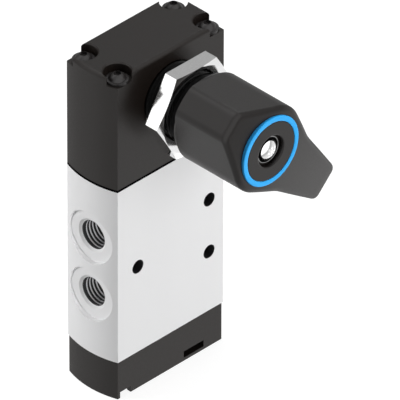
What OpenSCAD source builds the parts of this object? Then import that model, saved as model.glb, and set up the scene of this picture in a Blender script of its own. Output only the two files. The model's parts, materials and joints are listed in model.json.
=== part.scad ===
// Panel-mounted rotary air valve: a five-port, two-position spool valve that a pointer knob drives.
// +X runs along the broad face, +Y away from the knob, +Z up the spool's axis.
// The origin is the centre of the end cap's underside. Distances t are measured forwards, along -Y,
// from the plane of the body's broad front face.

/* [Valve body] */
// Width of the flat broad face
body_w = 43.8; // [40:0.1:60]
// Thickness between the two broad faces
body_t = 21; // [20:0.1:26]
// Height of the metal body between its two plastic ends
body_h = 61.5; // [58:0.1:80]
// How far the left narrow face bulges past the edges of the broad faces
side_bulge = 1.86; // [1:0.01:3]

/* [Ports] */
// Distance between neighbouring port levels
port_pitch = 10.25; // [9.9:0.05:11.5]
// Radius of the port thread at its root
port_r = 4.864; // [4:0.001:5]
// Depth of the port thread below its face
port_depth = 8.5; // [7:0.1:9.5]
// Radius of the port chamfer at the face
port_chamfer_r = 5.5; // [5.2:0.1:6]
// Radius of the round spot face on the bulged side
spot_r = 8.8; // [7:0.1:9.3]
// How far the spot face stands outside the edges of the broad face
spot_rise = 0.25; // [0:0.05:1]
// Radius of the drilling from a port to the spool bore
feed_r = 2.9; // [2:0.1:3.2]

/* [Mounting holes] */
// Radius of the three through holes for mounting screws
mount_r = 2.3; // [2.1:0.05:2.5]
// Distance from the spool axis to the pair of mounting holes
mount_pair_x = 16; // [15:0.1:17]
// Distance from the spool axis to the single mounting hole
mount_single_x = 13.6; // [12.5:0.1:15]
// Distance between the two holes of the pair
mount_pair_pitch = 18.8; // [16:0.1:20]

/* [Housing screws] */
// Distance from a screw axis to the edge of the broad face, along X
screw_edge_x = 3.4; // [3.2:0.1:4]
// Distance from a screw axis to the broad face, along Y
screw_edge_y = 3.5; // [3.2:0.1:3.8]
// Radius of the screw shank
screw_r = 1.5; // [1.4:0.05:1.6]
// Length of the screw that sits in the metal body
screw_grip = 8; // [6:0.5:10]
// Radius of the flange under the screw head
flange_r = 3.45; // [3.2:0.05:3.6]
// Thickness of that flange
flange_h = 0.8; // [0.5:0.1:1]
// Height of the whole screw head
head_h = 2.75; // [2:0.05:3]
// Radius of the dome where it rises from the flange
dome_r = 2.75; // [2.4:0.05:3]
// Width across the flats of the hexagon socket
socket_af = 2.2; // [1.8:0.1:2.5]
// Depth of the hexagon socket
socket_depth = 1.2; // [0.8:0.1:1.5]
// Radius of the pocket round each screw head
pocket_r = 4.25; // [4:0.05:4.6]
// Depth of the pocket below the housing's top
pocket_depth = 3.35; // [2:0.05:4]
// Chamfer round the mouth of the pocket
pocket_chamfer = 0.4; // [0.2:0.05:0.6]

/* [End cap screws] */
// Distance from a cap screw's axis to the broad face and to the flat narrow face
cap_screw_edge = 4; // [3.8:0.1:4.5]
// Length of the cap screw that sits in the metal body
cap_screw_grip = 7; // [5:0.5:8]
// Radius of the cap screw's head
cap_head_r = 2.75; // [2.5:0.05:2.9]
// Height of that head
cap_head_h = 1.7; // [1.5:0.05:2.2]
// Radius of the pocket round the head
cap_pocket_r = 3.05; // [2.95:0.05:3.2]
// Depth of that pocket
cap_pocket_depth = 2.35; // [2:0.05:3]
// Width of the notch that opens one pocket to the broad face
notch_w = 4.4; // [3:0.1:5]
// Height of that notch
notch_h = 2.1; // [1.5:0.1:2.2]

/* [End cap] */
// Height of the end cap
cap_h = 13.5; // [12:0.1:18]
// How far the cap's walls stand behind the body's faces
cap_inset = 0.3; // [0.1:0.05:0.6]
// Width of the label clip's slot in the broad face
slot_w = 8.3; // [6:0.1:10]
// Height of that slot
slot_h = 2.3; // [1.5:0.1:3]
// Depth of that slot
slot_depth = 2.4; // [1:0.1:3]
// Distance from the spool axis to the near end of the slot
slot_x = 5.8; // [4:0.1:7]
// Thickness of the lip under the slot
slot_lip = 1.1; // [0.6:0.1:2]

/* [Actuator housing] */
// Height of the actuator housing
housing_h = 40; // [39.5:0.1:50]
// Radius of the rounded top edges
housing_round = 1.3; // [0.4:0.1:1.8]
// Half width of the cavity for the crank and yoke
cavity_half_x = 12; // [11:0.1:12.5]
// Wall behind and in front of the cavity
housing_wall = 3.9; // [3:0.1:4]
// Thickness of the roof above the cavity
roof = 3.4; // [2:0.1:4.5]
// Height of the dark shadow gap above the metal body
seam_h = 0.5; // [0.2:0.05:0.6]
// Depth of that shadow gap
seam_depth = 0.8; // [0.3:0.05:1]

/* [Neck and nut] */
// Height of the knob's axis above the metal body
axis_h = 24.5; // [24:0.1:27]
// Outer radius of the threaded neck
neck_r = 11; // [10.5:0.1:11]
// Front end of the neck, in front of the broad face
neck_front = 15.3; // [14:0.1:16]
// Width of the nut across its flats
nut_af = 28.4; // [27:0.1:30]
// Thickness of the nut
nut_h = 4.7; // [4:0.1:6]
// Gap between the housing's face and the nut
nut_back = 6; // [1:0.1:7]

/* [Knob] */
// Back face of the knob, in front of the broad face
knob_back = 14.3; // [13.5:0.1:15]
// Front of the knob's crowned face
knob_front = 40.9; // [38:0.1:46]
// Radius of the knob's round back rim
knob_rim_r = 13; // [12.6:0.1:14]
// Reach of the pointer from the axis
pointer_reach = 40.1; // [34:0.1:41]
// Half width of the pointer at its tip
pointer_half = 5.75; // [4:0.05:7]
// Reach of the tail from the axis
tail_reach = 20.3; // [18:0.1:24]
// Half width of the flat on the tail
tail_half = 4.3; // [3.5:0.05:5]
// Half width of the knob at its widest
knob_half = 15.2; // [14.4:0.1:16]
// Radius of the crown along the middle of the knob
crown_r = 110; // [90:1:200]
// Radius of the flatter crown along the pointer
pointer_crown_r = 400; // [200:1:600]
// Distance from the axis to the change between the two crown radii
crown_change = 12; // [10:0.5:16]
// Radius of the knob's rounded front edge
knob_round = 1.6; // [0.8:0.1:1.8]
// Direction in which the pointer rests, seen from the front
pointer_angle = -45; // [-45]
// Turn between the two valve positions
turn = 90; // [90]

/* [Indicator ring] */
// Outer radius of the coloured ring
ring_r = 11.4; // [10:0.1:12.2]
// Width of the ring's band
ring_w = 1.7; // [1.5:0.1:3]
// Depth of the groove that holds the ring
ring_depth = 1.8; // [1.2:0.1:2.5]
// How far the ring stands proud of the crown's middle
ring_proud = 0.45; // [0.1:0.05:0.6]
// How far the flat disc inside the ring stands proud of the crown's middle
disc_proud = 0.05; // [0.02:0.01:0.3]

/* [Knob screw] */
// Radius of the recess round the knob screw
recess_r = 4.9; // [4.6:0.05:5.5]
// Chamfer round the mouth of the recess
recess_chamfer = 0.4; // [0.2:0.05:0.6]
// Depth of that recess
recess_depth = 1.4; // [1.2:0.1:3]
// Radius of the washer
washer_r = 4.4; // [4.2:0.05:4.6]
// Thickness of the washer
washer_h = 0.5; // [0.3:0.05:0.8]
// Radius of the screw head
knob_head_r = 3.2; // [3:0.05:3.8]
// Height of the screw head
knob_head_h = 1.65; // [1.2:0.05:2]
// Radius of the screw's socket across its corners
knob_socket_r = 1.45; // [1:0.05:1.8]
// Depth of that socket
knob_socket_depth = 0.9; // [0.6:0.1:1.1]
// Radius of the knob screw's shank
knob_screw_r = 1.5; // [1.2:0.05:1.7]
// Length of the shank that sits in the shaft
knob_screw_grip = 8; // [5:0.5:10]

/* [Shaft and crank] */
// Radius of the shaft
shaft_r = 4; // [3.5:0.05:4.2]
// Length of the shaft's flat inside the knob
flat_length = 12; // [8:0.5:16]
// Depth of that flat
flat_depth = 1; // [0.5:0.1:1.5]
// Outer radius of the shaft's bush
bush_r = 5.2; // [4.9:0.05:5.4]
// Length of the bush
bush_length = 12; // [8:0.5:13]
// Radius of the round cord of the shaft's seal ring
oring_r = 1; // [0.8:0.05:1.1]
// Radius of the crank disc
crank_r = 8.9; // [8.5:0.1:9.2]
// Thickness of the crank disc
crank_h = 3; // [2.5:0.1:3.2]
// Side of the square drive between shaft and disc
drive_side = 5; // [4:0.1:5.4]
// Distance from the shaft's axis to the crank pin
crank_throw = 2.6; // [2.4:0.05:2.8]
// Radius of the crank pin
crank_pin_r = 1.5; // [1.2:0.05:1.6]
// Distance from the shaft's axis to the stop pin
stop_throw = 6.7; // [6.5:0.05:6.9]
// Radius of the stop pin
stop_r = 0.9; // [0.7:0.05:1]

/* [Spool] */
// Radius of the body's bore for seals and spacers
bore_r = 7; // [6.5:0.1:7.2]
// Radius of the spool's lands
spool_r = 4.45; // [4.2:0.05:4.6]
// Radius of the spool's waists
waist_r = 2.9; // [2.4:0.1:3.2]
// Radius of the spool's upper stem
stem_r = 2.5; // [2:0.1:2.8]
// Thickness of the yoke plate
yoke_t = 4.4; // [3.5:0.1:4.6]
// Half width of the yoke plate
yoke_half_x = 7; // [6.5:0.1:8]
// Radius of the yoke's hub
hub_r = 5; // [4.5:0.1:5.5]
// Height of the yoke's hub
hub_h = 8; // [6:0.1:9]
// Radius of the cross pin through hub and stem
cross_pin_r = 0.8; // [0.6:0.05:1]
// Wall thickness of the seal spacers
spacer_wall = 1.4; // [1:0.1:1.6]
// Radius of the windows in the seal spacers
window_r = 1.4; // [1:0.1:1.8]

/* [Fits] */
// Radial clearance of a running fit
run_fit = 0.06; // [0.03:0.01:0.1]
// Gap between a fixed round piece and its seat
seat_fit = 0.03; // [0.02:0.01:0.05]
// Clearance on each side of the crank pin in its slot
slot_fit = 0.2; // [0.15:0.01:0.3]
// Gap between the stop pin and the end of its slot
stop_fit = 0.1; // [0.05:0.01:0.2]
// Free gap between moving pieces that don't guide each other
free_gap = 0.3; // [0.25:0.05:0.5]

/* [Hidden] */
$fn = 96;

// Overlap that lets a cutter run past the face it opens
eps = 1;
// Facets of the large arcs
fine = 180;

// Levels along the spool's axis
body_z = cap_h;
body_top = body_z + body_h;
housing_top = body_top + housing_h;
ledge_z = housing_top - pocket_depth;
axis_z = body_top + axis_h;
centre_z = body_z + body_h / 2;
port_levels_left = [centre_z - port_pitch, centre_z + port_pitch];
port_levels_right = [for (k = [-2, 0, 2]) centre_z + k * port_pitch];
seal_levels = [for (k = [-2.5:1:2.5]) centre_z + k * port_pitch];

// The left narrow face is an arc through the vertical edges and the right one is flat
side_r = (pow(body_t / 2, 2) + pow(side_bulge, 2)) / (2 * side_bulge);
side_x = body_w / 2 + side_bulge;
side_centre = side_r - side_x;
flat_x = body_w / 2;
face_y = body_t / 2;
spot_x = flat_x + spot_rise;

// Screw axes and their holes
screw_x = flat_x - screw_edge_x;
screw_y = face_y - screw_edge_y;
cap_screw_y = face_y - cap_screw_edge;
cap_screw_right = flat_x - cap_screw_edge;
screw_fit = 0.2;
screw_hole_r = screw_r + screw_fit;
screw_tip_gap = 1;
cap_rim_h = 0.35;

// Gaskets lie in grooves round the cavities
gasket_w = 1.2;
gasket_h = 1;
gasket_land_x = 1;
gasket_land_y = 0.8;
cap_gasket_land = 1.2;

// Seals and spacers share the body's bore
seal_r = (bore_r - spool_r - run_fit) / 2;
seal_centre_r = bore_r - seal_r;
spacer_r = bore_r - seat_fit;
spacer_gap = 0.05;
spacer_h = port_pitch - 2 * seal_r - 2 * spacer_gap;
windows = 6;
lower_bush_top = seal_levels[0] - seal_r - spacer_gap;
upper_bush_bottom = seal_levels[5] + seal_r + spacer_gap;
bush_bore = spool_r + run_fit;

// The spool's stroke follows the crank's quarter turn
stroke = 2 * crank_throw * sin(turn / 2);
land_edge = stroke / 2;
waist_taper = 1;
spool_rise = 0.7;
spool_bottom = body_z + spool_rise;
hub_z = body_top + stroke + free_gap;
stem_top = hub_z + hub_h - 0.5;
cross_pin_z = hub_z + hub_h / 2;
cross_pin_inset = 0.1;
slot_z = axis_z + stroke / 2;
yoke_slot_half = crank_pin_r + slot_fit;
yoke_slot_x = crank_throw + crank_pin_r + 1;
yoke_bar = 3;
yoke_top = slot_z + yoke_slot_half + yoke_bar;
yoke_root = 1.5;
end_cavity_r = spool_r + 0.8;
end_cavity_depth = stroke - spool_rise + 1;
cap_gasket_r = end_cavity_r + cap_gasket_land;

// Places along the knob's axis
cavity_front = -housing_wall;
disc_front = cavity_front - free_gap;
disc_back = disc_front - crank_h;
spool_t = -face_y;
crank_pin_end = 0.6;
crank_pin_back = spool_t - yoke_t / 2 - crank_pin_end;
crank_angle = 45;
stop_seat = 4;
neck_bore = bush_r + seat_fit;
neck_lip = 1.5;
nut_chamfer = 0.6;
circlip_h = 0.8;
circlip_w = 2;
circlip_mouth = 3.2;
circlip_back = neck_front + 0.1;
circlip_r = shaft_r + circlip_w;
groove_depth = 0.6;
skirt_r = neck_r + 0.5;
skirt_front = circlip_back + circlip_h + 0.9;
recess_floor = knob_front - recess_depth;
knob_web = 2.4;
shaft_front = recess_floor - knob_web;
flat_back = shaft_front - flat_length;
shaft_flat = shaft_r - flat_depth;
knob_rim_h = 0.3;
oring_side = 0.1;
oring_t = neck_front - neck_lip - 0.3 - oring_r;
oring_groove_r = neck_bore - run_fit - 2 * oring_r;

// Corners of the knob's front, as [along the pointer, across it, corner radius], anticlockwise
knob_half_outline = [
  [pointer_reach, pointer_half, 2.3],
  [15.6, 9.3, 25],
  [-1.5, knob_half, 11.6],
  [-tail_reach, tail_half, 3.2]
];
knob_corners = concat(
  knob_half_outline,
  [for (k = [len(knob_half_outline) - 1:-1:0]) let (c = knob_half_outline[k]) [c[0], -c[1], c[2]]]
);
corner_steps = 8;
round_steps = 5;
cap_shares = [0.8, 0.55, 0.3];

// The knob's back tapers as a cone: pairs of [distance in front of its back face, largest radius there]
back_taper = [[0, knob_rim_r], [2.5, 14.5], [3.9, 18.3], [6.5, 23.6], [12.2, 31], [16.2, pointer_reach + 2]];

// Outline of the metal body, drawn in by an inset
module valve_outline(inset) {
  intersection() {
    translate([-side_x, -face_y + inset]) square([side_x + flat_x - inset, body_t - 2 * inset]);
    translate([side_centre, 0]) circle(r = side_r - inset, $fn = fine);
  }
}

module block(inset, z_low, z_high) {
  translate([0, 0, z_low]) linear_extrude(z_high - z_low) valve_outline(inset);
}

// Places its children at the housing's four screw axes; each faces its own corner
module at_screws() {
  for (sx = [-1, 1], sy = [-1, 1]) translate([sx * screw_x, sy * screw_y, 0]) scale([sx, sy, 1]) children();
}

module at_cap_screws() {
  for (x = [-screw_x, cap_screw_right], sy = [-1, 1]) translate([x, sy * cap_screw_y, 0]) children();
}

// Turns its children so that their Z is the knob's axis and their X and Y are the row's X and Z
module on_knob_axis() {
  translate([0, -face_y, axis_z]) rotate([90, 0, 0]) children();
}

module along_knob(r, from_t, to_t) {
  translate([0, 0, from_t]) cylinder(r = r, h = to_t - from_t);
}

module ring(outer, inner, from_z, to_z) {
  difference() {
    translate([0, 0, from_z]) cylinder(r = outer, h = to_z - from_z);
    translate([0, 0, from_z - eps]) cylinder(r = inner, h = to_z - from_z + 2 * eps);
  }
}

// One port, drilled along X from a face towards the spool bore
module port_cut(face_x) {
  chamfer = port_chamfer_r - port_r;
  rotate([0, 90, 0]) {
    translate([0, 0, face_x - chamfer]) cylinder(r1 = port_r, r2 = port_chamfer_r + eps, h = chamfer + eps);
    translate([0, 0, face_x - port_depth]) cylinder(r = port_r, h = port_depth);
    translate([0, 0, bore_r - eps]) cylinder(r = feed_r, h = face_x - bore_r);
  }
}

module spot_cut() {
  translate([spot_x, 0, 0]) rotate([0, 90, 0]) cylinder(r = spot_r, h = side_bulge - spot_rise + eps);
}

module mount_cut() {
  rotate([90, 0, 0]) cylinder(r = mount_r, h = body_t + 2 * eps, center = true);
}

module valve_body() {
  color([0.86, 0.86, 0.87])
  difference() {
    block(0, body_z, body_top);
    translate([0, 0, body_z - eps]) cylinder(r = bore_r, h = body_h + 2 * eps);
    for (z = port_levels_left) translate([0, 0, z]) mirror([1, 0, 0]) {
      spot_cut();
      port_cut(spot_x);
    }
    for (z = port_levels_right) translate([0, 0, z]) port_cut(flat_x);
    for (k = [-0.5, 0.5]) translate([mount_pair_x, 0, centre_z + k * mount_pair_pitch]) mount_cut();
    translate([-mount_single_x, 0, centre_z]) mount_cut();
    at_screws() translate([0, 0, body_top]) mirror([0, 0, 1]) screw_bore(screw_grip);
    at_cap_screws() translate([0, 0, body_z]) screw_bore(cap_screw_grip);
  }
}

module screw_bore(grip) {
  translate([0, 0, -eps]) cylinder(r = screw_r + seat_fit, h = grip + screw_tip_gap + eps);
}

// Pocket for a housing screw's head, open towards the corner; its floor is at z = 0
module corner_pocket() {
  cylinder(r = pocket_r, h = pocket_depth + eps);
  translate([0, 0, pocket_depth - pocket_chamfer])
    cylinder(r1 = pocket_r, r2 = pocket_r + pocket_chamfer + eps, h = pocket_chamfer + eps);
  cube([side_x, body_t, pocket_depth + eps]);
}

// What a rounded top edge takes off: the square outside a quarter circle
module round_profile(r) {
  difference() {
    square([r + eps, r + eps]);
    circle(r = r);
  }
}

// Rounds the top edge of the flat face that lies at a distance in the direction of an angle
module straight_edge(distance, angle) {
  r = housing_round;
  rotate([0, 0, angle]) translate([distance - r, 0, housing_top - r]) rotate([90, 0, 0])
    linear_extrude(4 * side_x, center = true) round_profile(r);
}

module housing_edges() {
  r = housing_round;
  straight_edge(flat_x, 0);
  straight_edge(face_y, 90);
  straight_edge(face_y, -90);
  translate([side_centre, 0, housing_top - r]) rotate_extrude($fn = fine)
    translate([side_r - r, 0]) round_profile(r);
}

module gasket_outline(grow) {
  x = cavity_half_x + gasket_land_x + grow;
  y = face_y - housing_wall + gasket_land_y + grow;
  square([2 * x, 2 * y], center = true);
}

module head_gasket_form() {
  linear_extrude(gasket_h) difference() {
    gasket_outline(gasket_w);
    gasket_outline(0);
  }
}

module actuator_housing() {
  depth = body_t - 2 * housing_wall;
  color([0.25, 0.235, 0.23])
  difference() {
    union() {
      block(0, body_top + seam_h, housing_top);
      block(seam_depth, body_top, body_top + seam_h);
    }
    housing_edges();
    translate([-cavity_half_x, -depth / 2, body_top - eps])
      cube([2 * cavity_half_x, depth, housing_h - roof + eps]);
    on_knob_axis() along_knob(neck_r + seat_fit, cavity_front - eps, eps);
    at_screws() {
      translate([0, 0, body_top - eps]) cylinder(r = screw_hole_r, h = housing_h + 2 * eps);
      translate([0, 0, ledge_z]) corner_pocket();
    }
    translate([0, 0, body_top]) head_gasket_form();
  }
}

module end_cap() {
  color([0.24, 0.235, 0.23])
  difference() {
    block(cap_inset, 0, body_z);
    translate([0, 0, body_z - end_cavity_depth]) cylinder(r = end_cavity_r, h = end_cavity_depth + eps);
    at_cap_screws() {
      translate([0, 0, -eps]) cylinder(r = screw_hole_r, h = cap_h + 2 * eps);
      translate([0, 0, -eps]) cylinder(r = cap_pocket_r, h = cap_pocket_depth + eps);
    }
    translate([-screw_x - notch_w / 2, -face_y, -eps]) cube([notch_w, cap_screw_edge, notch_h + eps]);
    translate([slot_x, -face_y, slot_lip]) cube([slot_w, slot_depth + cap_inset, slot_h]);
    translate([0, 0, body_z]) cap_gasket_form();
  }
}

module cap_gasket_form() {
  ring(cap_gasket_r + gasket_w, cap_gasket_r, -gasket_h, 0);
}

module head_gasket() {
  color([0.12, 0.12, 0.12]) translate([0, 0, body_top]) head_gasket_form();
}

module end_cap_gasket() {
  color([0.12, 0.12, 0.12]) translate([0, 0, body_z]) cap_gasket_form();
}

// A dome-head screw that stands on z = 0 with its shank below. The head is given as
// [rim radius, rim height, dome radius, whole height] and its socket as [corner radius, depth]
module dome_screw(shank_r, shank, head, socket) {
  rise = head[3] - head[1];
  arc_r = (pow(head[2], 2) + pow(rise, 2)) / (2 * rise);
  difference() {
    rotate_extrude() {
      translate([0, -shank]) square([shank_r, shank + head[1] / 2]);
      square([head[0], head[1]]);
      intersection() {
        translate([0, head[3] - arc_r]) circle(r = arc_r);
        translate([0, head[1] / 2]) square([head[2], head[3]]);
      }
    }
    translate([0, 0, head[3] - socket[1]]) cylinder(r = socket[0], h = socket[1] + eps, $fn = 6);
  }
}

module housing_screws() {
  color([0.2, 0.19, 0.19])
  at_screws() translate([0, 0, ledge_z])
    dome_screw(screw_r, ledge_z - body_top + screw_grip, [flange_r, flange_h, dome_r, head_h],
               [socket_af / sqrt(3), socket_depth]);
}

module end_cap_screws() {
  color([0.2, 0.19, 0.19])
  at_cap_screws() translate([0, 0, cap_pocket_depth]) mirror([0, 0, 1])
    dome_screw(screw_r, body_z - cap_pocket_depth + cap_screw_grip,
               [cap_head_r, cap_rim_h, cap_head_r, cap_head_h], [socket_af / sqrt(3), socket_depth]);
}

module threaded_neck() {
  color([0.2, 0.2, 0.2])
  on_knob_axis() difference() {
    along_knob(neck_r, cavity_front, neck_front);
    along_knob(neck_bore, cavity_front - eps, neck_front - neck_lip);
    along_knob(shaft_r + run_fit, cavity_front, neck_front + eps);
    translate([0, stop_throw, cavity_front - eps]) cylinder(r = stop_r + seat_fit, h = stop_seat + eps);
  }
}

module stop_pin() {
  color([0.7, 0.7, 0.72])
  on_knob_axis() translate([0, stop_throw, disc_back])
    cylinder(r = stop_r, h = cavity_front - disc_back + stop_seat);
}

module panel_nut() {
  bore = neck_r + seat_fit;
  color([0.85, 0.85, 0.87])
  on_knob_axis() translate([0, 0, nut_back]) difference() {
    cylinder(r = nut_af / sqrt(3), h = nut_h, $fn = 6);
    translate([0, 0, -eps]) cylinder(r = bore, h = nut_h + 2 * eps);
    translate([0, 0, -eps]) cylinder(r1 = bore + nut_chamfer + eps, r2 = bore, h = nut_chamfer + eps);
    translate([0, 0, nut_h - nut_chamfer])
      cylinder(r1 = bore, r2 = bore + nut_chamfer + eps, h = nut_chamfer + eps);
  }
}

module guide_bush(low, high) {
  color([0.75, 0.68, 0.45]) ring(spacer_r, bush_bore, low, high);
}

module lower_guide_bush() {
  guide_bush(body_z, lower_bush_top);
}

module upper_guide_bush() {
  guide_bush(upper_bush_bottom, body_top);
}

// Five rings with windows hold the seals apart and let the air through
module seal_spacers() {
  color([0.85, 0.8, 0.7])
  for (level = [for (k = [-2:2]) centre_z + k * port_pitch]) translate([0, 0, level]) difference() {
    ring(spacer_r, spacer_r - spacer_wall, -spacer_h / 2, spacer_h / 2);
    for (k = [0:windows / 2 - 1]) rotate([0, 0, k * 360 / windows]) rotate([0, 90, 0])
      cylinder(r = window_r, h = 2 * bore_r + 2 * eps, center = true);
  }
}

module seal_ring(centre_r, cord_r) {
  rotate_extrude() translate([centre_r, 0]) circle(r = cord_r, $fn = 48);
}

module spool_seals() {
  color([0.1, 0.1, 0.1]) for (z = seal_levels) translate([0, 0, z]) seal_ring(seal_centre_r, seal_r);
}

module shaft_bush() {
  color([0.72, 0.55, 0.3])
  on_knob_axis() ring(bush_r, shaft_r + run_fit, cavity_front, cavity_front + bush_length);
}

function flat(p) = [p[0], p[1]];
function unit(v) = v / norm(v);
function side_normal(a, b) = let (d = unit(b - a)) [d[1], -d[0]];

// One corner as an arc: its centre, radius, bend (1 outwards, -1 inwards), start angle and sweep
function corner_arc(k) = let (
  n = len(knob_corners),
  before = flat(knob_corners[(k + n - 1) % n]),
  here = flat(knob_corners[k]),
  after = flat(knob_corners[(k + 1) % n]),
  r = knob_corners[k][2],
  n1 = side_normal(before, here),
  n2 = side_normal(here, after),
  sweep = atan2(n1[0] * n2[1] - n1[1] * n2[0], n1 * n2),
  bend = sign(sweep),
  centre = here - bend * unit(n1 + n2) * r / cos(sweep / 2)
) [centre, r, bend, atan2(n1[1], n1[0]), sweep];

knob_arcs = [for (k = [0:len(knob_corners) - 1]) corner_arc(k)];

// The whole outline, drawn in by an inset
function knob_outline(inset) = [
  for (arc = knob_arcs, s = [0:corner_steps])
    let (a = arc[3] + arc[4] * s / corner_steps, reach = arc[2] * (arc[1] - arc[2] * inset))
      arc[0] + reach * [cos(a), sin(a)]
];

// How far the crowned front lies behind its middle: two tangent arcs along the pointer
function crown(p) = let (m = crown_change, u = p[0], beyond = max(0, u - m), near = min(u, m))
  pow(near, 2) / (2 * crown_r) + beyond * m / crown_r + pow(beyond, 2) / (2 * pointer_crown_r);
function within(p, limit) = norm(p) > limit ? p * limit / norm(p) : p;

knob_rings = concat(
  [for (b = back_taper) [for (p = knob_outline(0)) let (q = within(p, b[1])) [q[0], q[1], knob_back + b[0]]]],
  [for (s = [0:round_steps]) let (a = 90 * s / round_steps, inset = knob_round * (1 - cos(a)))
    [for (p = knob_outline(inset)) [p[0], p[1], knob_front - crown(p) - knob_round * (1 - sin(a))]]],
  [for (share = cap_shares) [for (p = knob_outline(knob_round) * share) [p[0], p[1], knob_front - crown(p)]]]
);

module knob_form() {
  n = len(knob_rings[0]);
  rows = len(knob_rings);
  points = concat([for (row = knob_rings, p = row) p], [[0, 0, knob_front]]);
  sides = [for (row = [0:rows - 2], k = [0:n - 1])
    let (a = row * n + k, b = row * n + (k + 1) % n) each [[a, a + n, b], [b, a + n, b + n]]];
  back = [[for (k = [0:n - 1]) k]];
  front = [for (k = [0:n - 1]) [(rows - 1) * n + k, rows * n, (rows - 1) * n + (k + 1) % n]];
  polyhedron(points, concat(back, sides, front));
}

// The shaft's front end has one flat
module shaft_section(r, from_t, to_t, flat_at) {
  difference() {
    along_knob(r, from_t, to_t);
    translate([-2 * r, flat_at, from_t - eps]) cube([4 * r, 2 * r, to_t - from_t + 2 * eps]);
  }
}

module knob() {
  color([0.23, 0.21, 0.21])
  on_knob_axis() rotate([0, 0, pointer_angle]) difference() {
    union() {
      knob_form();
      along_knob(ring_r - ring_w, knob_front - ring_depth - eps, knob_front + disc_proud);
    }
    along_knob(skirt_r, knob_back - eps, skirt_front);
    along_knob(shaft_r + seat_fit, skirt_front - eps, flat_back);
    shaft_section(shaft_r + seat_fit, flat_back - eps, shaft_front + seat_fit, shaft_flat + seat_fit);
    along_knob(knob_screw_r + screw_fit, shaft_front - eps, knob_front + eps);
    along_knob(recess_r, recess_floor, knob_front + eps);
    translate([0, 0, knob_front + disc_proud - recess_chamfer])
      cylinder(r1 = recess_r, r2 = recess_r + recess_chamfer + eps, h = recess_chamfer + eps);
    ring(ring_r + seat_fit, ring_r - ring_w - seat_fit, knob_front - ring_depth, knob_front + eps);
  }
}

module indicator_ring() {
  color([0.25, 0.68, 0.98])
  on_knob_axis() ring(ring_r, ring_r - ring_w, knob_front - ring_depth, knob_front + ring_proud);
}

module knob_washer() {
  color([0.8, 0.8, 0.8])
  on_knob_axis() ring(washer_r, knob_screw_r + screw_fit, recess_floor, recess_floor + washer_h);
}

module knob_screw() {
  seat = recess_floor + washer_h;
  color([0.85, 0.85, 0.86])
  on_knob_axis() translate([0, 0, seat])
    dome_screw(knob_screw_r, seat - shaft_front + knob_screw_grip,
               [knob_head_r, knob_rim_h, knob_head_r, knob_head_h], [knob_socket_r, knob_socket_depth]);
}

module knob_shaft() {
  half = drive_side / 2;
  color([0.75, 0.75, 0.77])
  on_knob_axis() rotate([0, 0, pointer_angle]) difference() {
    union() {
      along_knob(shaft_r, disc_front, flat_back);
      shaft_section(shaft_r, flat_back, shaft_front, shaft_flat);
      translate([-half, -half, disc_back]) cube([drive_side, drive_side, crank_h + eps]);
    }
    ring(shaft_r + eps, oring_groove_r, oring_t - oring_r - oring_side, oring_t + oring_r + oring_side);
    ring(shaft_r + eps, shaft_r - groove_depth, circlip_back, circlip_back + circlip_h);
    along_knob(knob_screw_r + seat_fit, shaft_front - knob_screw_grip - screw_tip_gap, shaft_front + eps);
  }
}

// An open ring that snaps into the shaft's groove in front of the neck
module shaft_circlip() {
  color([0.35, 0.35, 0.37])
  on_knob_axis() difference() {
    ring(circlip_r, shaft_r - groove_depth + seat_fit, circlip_back, circlip_back + circlip_h);
    translate([0, -circlip_mouth / 2, circlip_back - eps])
      cube([circlip_r + eps, circlip_mouth, circlip_h + 2 * eps]);
  }
}

module shaft_oring() {
  color([0.1, 0.1, 0.1])
  on_knob_axis() translate([0, 0, oring_t]) seal_ring(oring_groove_r + oring_r, oring_r);
}

// The slot in the crank disc that meets the stop pin at both ends of the turn
module stop_slot() {
  half = stop_r + slot_fit;
  end_angle = asin((stop_r + stop_fit) / stop_throw);
  translate([0, 0, disc_back - eps]) rotate([0, 0, 90 - end_angle])
    rotate_extrude(angle = turn + 2 * end_angle)
      translate([stop_throw - half, 0]) square([2 * half, crank_h + 2 * eps]);
}

module crank_disc() {
  half = drive_side / 2 + seat_fit;
  color([0.6, 0.6, 0.62])
  on_knob_axis() difference() {
    along_knob(crank_r, disc_back, disc_front);
    stop_slot();
    rotate([0, 0, pointer_angle]) translate([-half, -half, disc_back - eps])
      cube([2 * half, 2 * half, crank_h + 2 * eps]);
  }
}

module crank_pin() {
  color([0.8, 0.8, 0.82])
  on_knob_axis() rotate([0, 0, crank_angle]) translate([crank_throw, 0, crank_pin_back])
    cylinder(r = crank_pin_r, h = disc_back - crank_pin_back);
}

// Lands close the seals and waists join neighbouring ports; each waist ends in a short cone
module waist(low, high) {
  difference() {
    ring(spool_r + eps, waist_r, low, high);
    translate([0, 0, low]) cylinder(r1 = spool_r, r2 = waist_r, h = waist_taper);
    translate([0, 0, high - waist_taper]) cylinder(r1 = waist_r, r2 = spool_r, h = waist_taper);
  }
}

module spool() {
  color([0.78, 0.78, 0.8])
  difference() {
    union() {
      translate([0, 0, spool_bottom]) cylinder(r = spool_r, h = hub_z - spool_bottom);
      translate([0, 0, hub_z - eps]) cylinder(r = stem_r, h = stem_top - hub_z + eps);
    }
    waist(seal_levels[1] + land_edge, seal_levels[2] + land_edge);
    waist(seal_levels[3] + land_edge, seal_levels[4] + land_edge);
    cross_pin_cut();
  }
}

module cross_pin_cut() {
  translate([0, 0, cross_pin_z]) rotate([0, 90, 0])
    cylinder(r = cross_pin_r + seat_fit, h = 2 * hub_r + 2 * eps, center = true);
}

module yoke_pin() {
  color([0.8, 0.8, 0.82])
  translate([0, 0, cross_pin_z]) rotate([0, 90, 0])
    cylinder(r = cross_pin_r, h = 2 * (hub_r - cross_pin_inset), center = true);
}

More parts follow.
